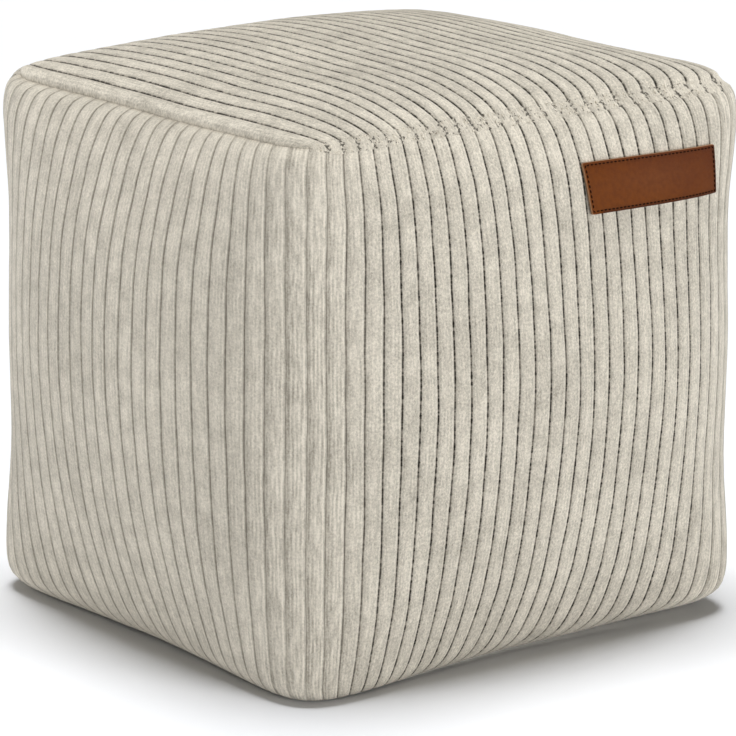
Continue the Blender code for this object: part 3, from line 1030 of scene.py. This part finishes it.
def stitch_piece(table, build, finish):
    """The row of stitches that holds the patch."""
    half_a, half_b = PATCH_WIDTH / 2 - STITCH_INSET, PATCH_HEIGHT / 2 - STITCH_INSET
    corners = [(-half_a, -half_b), (half_a, -half_b), (half_a, half_b), (-half_a, half_b)]
    points, outs = [], []
    for (a0, b0), (a1, b1) in zip(corners, corners[1:] + corners[:1]):
        count = max(2, round(math.hypot(a1 - a0, b1 - b0) / STITCH_PITCH))
        for k in range(count):
            a, b = a0 + (a1 - a0) * k / count, b0 + (b1 - b0) * k / count
            here, normal = on_front(table, *patch_place(a, b))
            points.append(here + normal * (2 * GAP + PATCH_THICK + 0.05 * MM))
            outs.append(normal)
    mesh = bpy.data.meshes.new("patch_stitches")
    count = len(points)
    mesh.from_pydata(points, [(k, (k + 1) % count) for k in range(count)], [])
    layer = mesh.attributes.new("out", "FLOAT_VECTOR", "POINT")
    layer.data.foreach_set("vector", np.array(outs, np.float32).ravel())
    obj = add_object("patch_stitches", mesh)
    build.use_on(obj, Finish=finish, Pitch=STITCH_PITCH, Length=STITCH_LENGTH, Width=STITCH_WIDTH)
    obj.data.shade_smooth()
    return obj


# ---- loose pile along the seams ----
def tuft_builder():
    """Strews tufts of pile over a strip of cloth, lying every way but standing a little proud."""
    build = Builder("tufts")
    density, length, width = build.inputs("Density", "Length", "Width")
    seed = build.input("Seed", "Int")
    places = {"Mesh": build.geometry, "Density": density * build.attribute("loose"), "Seed": seed}
    points = build.add("GeometryNodeDistributePointsOnFaces", {}, places, "Points")
    normal = Wire(build, points.socket.node.outputs["Normal"])
    tuft = build.add("GeometryNodeMeshCone", {"fill_type": "NONE"},
                     {"Vertices": 5, "Radius Top": 0.12, "Radius Bottom": 0.5, "Depth": 1.0}, "Mesh")
    scatter = {"data_type": "FLOAT_VECTOR"}
    away = build.add("FunctionNodeRandomValue", scatter,
                     {"Min": (-1.0, -1.0, -1.0), "Max": (1.0, 1.0, 0.6), "Seed": 3}, "Value")
    lean = build.add("ShaderNodeVectorMath", {"operation": "SCALE"}, {"Vector": normal, "Scale": 0.45})
    lean = build.add("ShaderNodeVectorMath", {"operation": "ADD"}, {0: away, 1: lean})
    turn = build.add("FunctionNodeAlignRotationToVector", {"axis": "Z"}, {"Vector": lean})
    grown = build.add("FunctionNodeRandomValue", {"data_type": "FLOAT"},
                      {"Min": 0.5, "Max": 1.3, "Seed": 5}, "Value")
    size = build.vector(width * grown, width * grown, length * grown)
    laid = build.add("GeometryNodeInstanceOnPoints", {},
                     {"Points": points, "Instance": tuft, "Rotation": turn, "Scale": size})
    return build.end(laid)


def belt_piece(build, finish):
    """The brushed belts that roll over the front and back seams, where the wales end."""
    heights = [level.height * MM for level in LEVELS]
    half_depth = LEVELS[-1].half_depth * MM
    count = 6 * TOP_WALES + 1
    points, faces, wale, run = [], [], [], []
    for first, side in ((0, 1), (2, -1)):
        places = first + np.linspace(BELT_END, 1 - BELT_END, count)
        across = np.linspace(0, TOP_WALES, count)[::side]
        into_corner = 1 - np.clip(np.minimum(across, TOP_WALES - across) / CORNER_WALES, 0, 1)
        near = (across < TOP_WALES / 2) & (first == 0)
        narrow = 1 + into_corner * np.where(near, NEAR_CORNER_BELT, FAR_CORNER_BELT)

        def band_line(down):
            return np.array([band_points(np.interp(SEAM_HEIGHT - down * share, heights, range(len(heights))),
                                         places[k:k + 1])[0] for k, share in enumerate(narrow)])

        def top_line(back):
            return top_surface(across, side * (back * narrow / half_depth - 1))

        low, high = band_line(BELT_REACH), top_line(BELT_REACH)
        chord = np.linalg.norm(high - low, axis=1, keepdims=True)
        up = low - band_line(BELT_REACH * 1.5)
        out = high - top_line(BELT_REACH * 1.5)
        up *= BELT_FULLNESS * chord / np.linalg.norm(up, axis=1, keepdims=True)
        out *= BELT_FULLNESS * chord / np.linalg.norm(out, axis=1, keepdims=True)
        start = len(points)
        for t in BELT_STEPS:
            line = ((1 - t) ** 3 * low + 3 * (1 - t) ** 2 * t * (low + up)
                    + 3 * (1 - t) * t ** 2 * (high + out) + t ** 3 * high)
            points += [tuple(p) for p in line]
            wale.append(across + first * TOP_WALES)
            run.append(np.full(count, t * 2 * BELT_REACH))
        faces += [tuple(start + k for k in face)
                  for face in grid_faces(len(BELT_STEPS), count, closed=False)]
    wale, run = np.concatenate(wale), np.concatenate(run)
    obj = mesh_object("seam_belts", points, faces, finish)
    none, whole = np.zeros_like(wale), np.ones_like(wale)
    own = np.random.default_rng(17).uniform(0.2, 1.0, 3 * TOP_WALES + 1)
    ends = own[np.round(wale).astype(int)] * np.abs(run / BELT_REACH - 1) ** 0.7
    loose = np.clip((TOP_WALES - 1.2 - wale) / 1.5, 0, 1)
    set_values(obj, wale=wale, along=run, groove=ends, brushed=whole * 0.9, parted=whole * 0.5, combed=none,
               loose=loose)
    set_cloth_map(obj, wale, run, wrap=0)
    build.use_on(obj, Finish=finish, Wale_height=1.0 * MM, Roundness=0.5, Unevenness=0.6 * MM, Seed=3.0)
    return obj


def tuft_piece(belts, build, finish):
    """Tufts of loose pile standing on the belts."""
    obj = add_object("seam_tufts", belts.data.copy())
    build.use_on(obj, Finish=finish, Density=TUFT_DENSITY, Length=1.7 * MM, Width=1.0 * MM, Seed=4)
    obj.data.shade_smooth()
    return obj


# ---- the studio ----
def studio():
    """A white floor, low soft lights in front and at the left, and a soft one almost overhead."""
    bpy.context.scene.view_settings.view_transform = "Standard"
    white = Finish("white_floor", Base_Color=FLOOR, Roughness=0.9)
    floor = mesh_object("floor", [(-6, -6, 0), (6, -6, 0), (6, 6, 0), (-6, 6, 0)], [(0, 1, 2, 3)],
                        white.material)
    world = bpy.data.worlds.new("studio")
    world.use_nodes = True
    room = world.node_tree.nodes["Background"].inputs
    room["Color"].default_value = (1.0, 1.0, 1.0, 1)
    room["Strength"].default_value = ROOM_LIGHT
    bpy.context.scene.world = world
    for sun in SUNS:
        lamp = bpy.data.lights.new(sun.name, "SUN")
        lamp.energy = sun.strength
        lamp.angle = math.radians(sun.softness)
        obj = add_object(sun.name, lamp)
        obj.location = sun.place
        obj.rotation_euler = (-Vector(sun.place)).to_track_quat("-Z", "Y").to_euler()


def camera():
    lens = bpy.data.cameras.new("view")
    lens.lens = VIEW_LENS
    lens.sensor_width = 36
    lens.clip_start = 0.05
    lens.clip_end = 60
    obj = add_object("view", lens)
    flat = math.cos(VIEW_ELEVATION)
    back = Vector((math.sin(VIEW_AZIMUTH) * flat, -math.cos(VIEW_AZIMUTH) * flat, math.sin(VIEW_ELEVATION)))
    right = Vector((math.cos(VIEW_AZIMUTH), math.sin(VIEW_AZIMUTH), 0))
    up = back.cross(right)
    obj.location = VIEW_MIDDLE + back * VIEW_DISTANCE
    aim = VIEW_MIDDLE - up * VIEW_DOWN + right * VIEW_RIGHT
    level = (aim - obj.location).to_track_quat("-Z", "Y")
    obj.rotation_mode = "QUATERNION"
    obj.rotation_quaternion = level @ Quaternion((0, 0, 1), VIEW_ROLL)
    bpy.context.scene.camera = obj


# ---- putting it together ----
camera()
studio()
wales = wale_builder()
side_cord = cord_finish("stone_cord", LIGHT, line_start=0.84, dashed=0.55)
# the top's copy of the cord: painted brighter, with wider painted valley shade lines
top_cord = cord_finish("stone_cord_top", TOP_LIGHT, line_start=0.74, dashed=0.80)
leather = leather_finish()
brown_thread = thread_finish()

band = band_piece(wales, side_cord)
top = top_piece(wales, top_cord)
base = base_piece(wales, side_cord)
front = front_table()
patch = patch_piece(front, leather)
stitches = stitch_piece(front, stitch_builder(), brown_thread)
belts = belt_piece(wales, side_cord)
tufts = tuft_piece(belts, tuft_builder(), tuft_finish())

for piece in (band, top, base, patch, stitches, belts, tufts):
    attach(piece, "root")
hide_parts("filled_body")
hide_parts("top_panel")
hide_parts("base_panel")
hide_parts("leather_patch")
